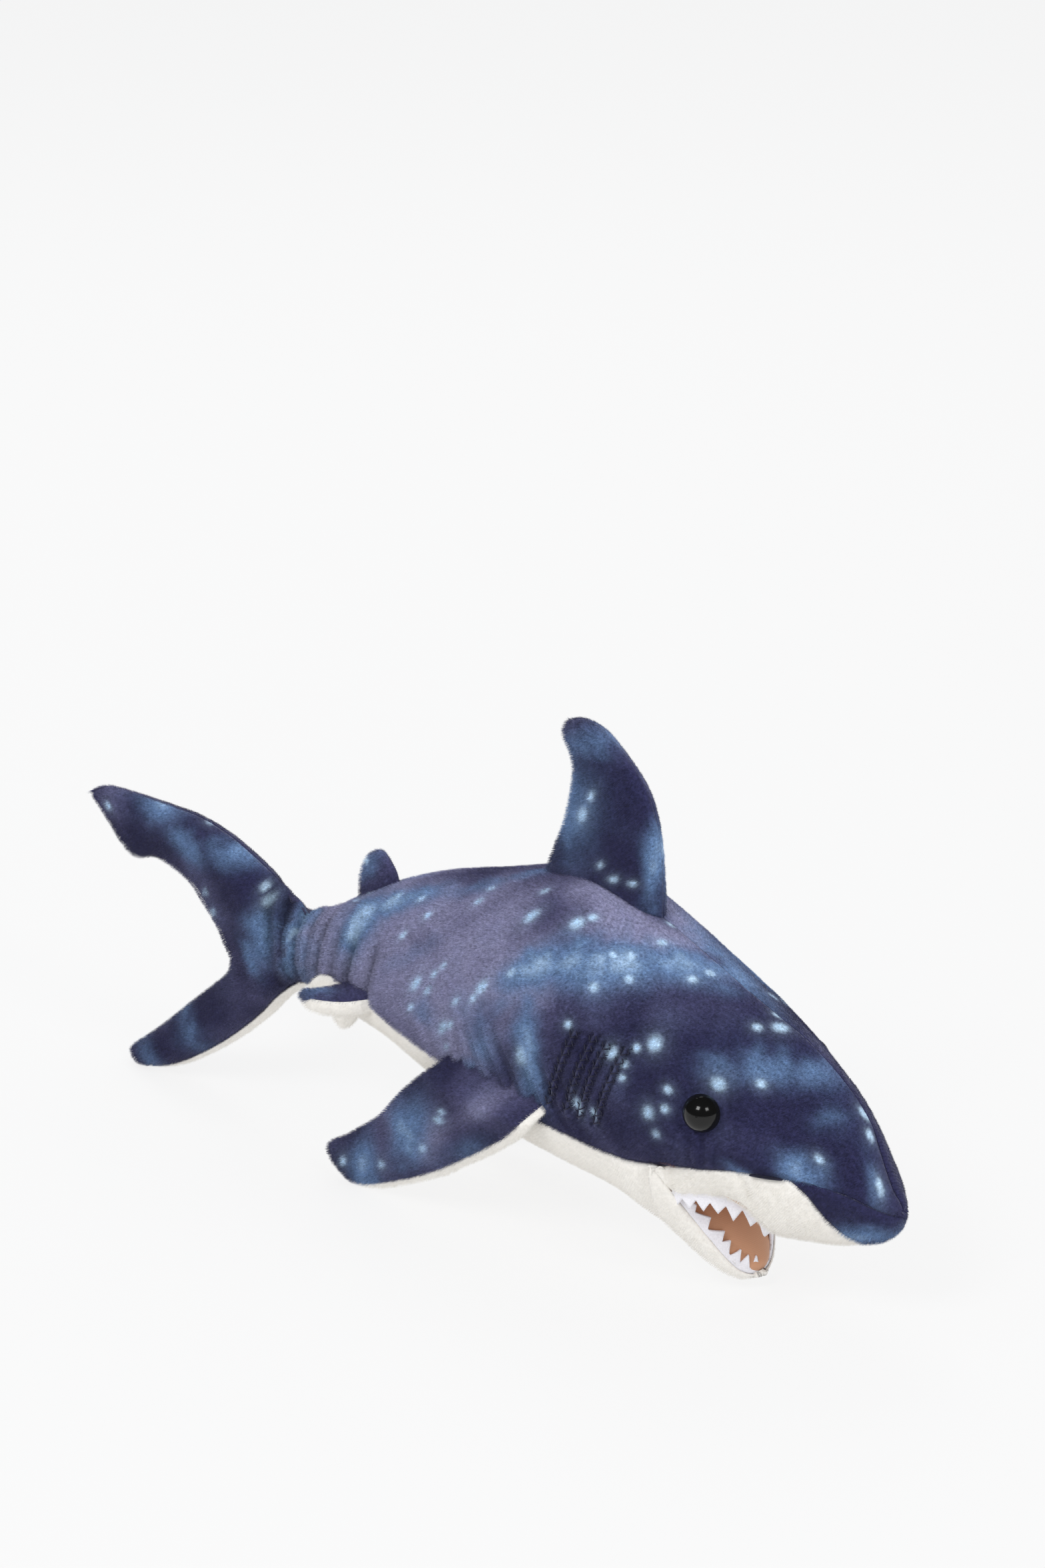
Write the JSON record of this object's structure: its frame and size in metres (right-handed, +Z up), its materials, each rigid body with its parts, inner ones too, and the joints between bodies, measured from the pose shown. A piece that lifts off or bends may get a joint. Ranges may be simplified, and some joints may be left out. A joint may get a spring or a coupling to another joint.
{
  "type": "plush shark",
  "caption": "Stuffed shark, 0.4 m long, of plush panels with a hinged open jaw, felt teeth, dome eyes, stitched gills, and bending tail and fins.",
  "frame": {"origin": "middle of the bounding box's foot, on the surface that the shark stands on", "axes": "+X towards the snout, +Y towards the shark's left side, +Z up"},
  "size_m": [0.4018, 0.0916, 0.2005],
  "materials": {
    "printed_plush": "short pile plush with a printed pattern",
    "cream_plush": "short pile plush",
    "mouth_knit": "smooth brushed knit",
    "tooth_felt": "pressed felt",
    "fibre_fill": "loose polyester fibre",
    "eye_plastic": "polished",
    "washer_plastic": "moulded",
    "dark_thread": "embroidery thread"
  },
  "bodies": {
    "torso": {"back_panel_right": "printed_plush", "back_panel_left": "printed_plush", "belly_panel": "cream_plush", "snout_gusset": "printed_plush", "upper_lip_panel": "cream_plush", "palate_lining": "mouth_knit", "upper_teeth": "tooth_felt", "body_stuffing": "fibre_fill", "eye_right": "eye_plastic", "eye_left": "eye_plastic", "eye_washer_right": "washer_plastic", "eye_washer_left": "washer_plastic", "nostril_right": "dark_thread", "nostril_left": "dark_thread", "gill_stitching_right": "dark_thread", "gill_stitching_left": "dark_thread"},
    "lower_jaw": {"jaw_cover": "cream_plush", "jaw_lining": "mouth_knit", "lower_teeth": "tooth_felt", "jaw_stuffing": "fibre_fill"},
    "dorsal_fin": {"dorsal_face_right": "printed_plush", "dorsal_face_left": "printed_plush", "dorsal_stuffing": "fibre_fill"},
    "pectoral_fin_right": {"pectoral_top_right": "printed_plush", "pectoral_underside_right": "cream_plush", "pectoral_stuffing_right": "fibre_fill"},
    "pectoral_fin_left": {"pectoral_top_left": "printed_plush", "pectoral_underside_left": "cream_plush", "pectoral_stuffing_left": "fibre_fill"},
    "pelvic_fin_right": {"pelvic_top_right": "printed_plush", "pelvic_underside_right": "cream_plush"},
    "pelvic_fin_left": {"pelvic_top_left": "printed_plush", "pelvic_underside_left": "cream_plush"},
    "second_dorsal_fin": {"second_dorsal_right": "printed_plush", "second_dorsal_left": "printed_plush"},
    "anal_fin": {"anal_fin_right": "cream_plush", "anal_fin_left": "cream_plush"},
    "tail": {"tail_panel_right": "printed_plush", "tail_panel_left": "printed_plush", "tail_gusset": "cream_plush", "tail_stuffing": "fibre_fill"}
  },
  "joints": [
    {"name": "jaw", "type": "hinge", "parent": "torso", "child": "lower_jaw", "pos_m": [0.1203, 0, 0.0446], "axis": [0, 1, 0], "range_deg": [-25, 4], "stiffness_Nm_per_rad": 1},
    {"name": "tail_bend", "type": "hinge", "parent": "torso", "child": "tail", "pos_m": [-0.0817, 0, 0.0756], "axis": [0, 0, 1], "range_deg": [-20, 20], "stiffness_Nm_per_rad": 0.8},
    {"name": "dorsal_lean", "type": "hinge", "parent": "torso", "child": "dorsal_fin", "pos_m": [0.0633, 0, 0.1398], "axis": [1, 0, 0], "range_deg": [-15, 15], "stiffness_Nm_per_rad": 0.2},
    {"name": "pectoral_flap_right", "type": "hinge", "parent": "torso", "child": "pectoral_fin_right", "pos_m": [0.01625, -0.041, 0.0665], "axis": [0.9923, -0.0444, -0.1157], "range_deg": [-35, 3], "stiffness_Nm_per_rad": 1},
    {"name": "pectoral_flap_left", "type": "hinge", "parent": "torso", "child": "pectoral_fin_left", "pos_m": [0.01625, 0.041, 0.0665], "axis": [0.9923, 0.0444, -0.1157], "range_deg": [-3, 35], "stiffness_Nm_per_rad": 1},
    {"name": "pelvic_flap_right", "type": "hinge", "parent": "torso", "child": "pelvic_fin_right", "pos_m": [-0.0297, -0.0272, 0.0736], "axis": [0.9848, -0.174, 0], "range_deg": [-20, 15], "stiffness_Nm_per_rad": 0.05},
    {"name": "pelvic_flap_left", "type": "hinge", "parent": "torso", "child": "pelvic_fin_left", "pos_m": [-0.0297, 0.0272, 0.0736], "axis": [0.9848, 0.174, 0], "range_deg": [-15, 20], "stiffness_Nm_per_rad": 0.05},
    {"name": "second_dorsal_lean", "type": "hinge", "parent": "torso", "child": "second_dorsal_fin", "pos_m": [-0.0457, 0, 0.1108], "axis": [0.9042, 0, 0.4271], "range_deg": [-12, 12], "stiffness_Nm_per_rad": 0.05},
    {"name": "anal_fin_lean", "type": "hinge", "parent": "torso", "child": "anal_fin", "pos_m": [-0.0637, 0, 0.0549], "axis": [0.997, 0, -0.077], "range_deg": [-12, 12], "stiffness_Nm_per_rad": 0.05}
  ]
}
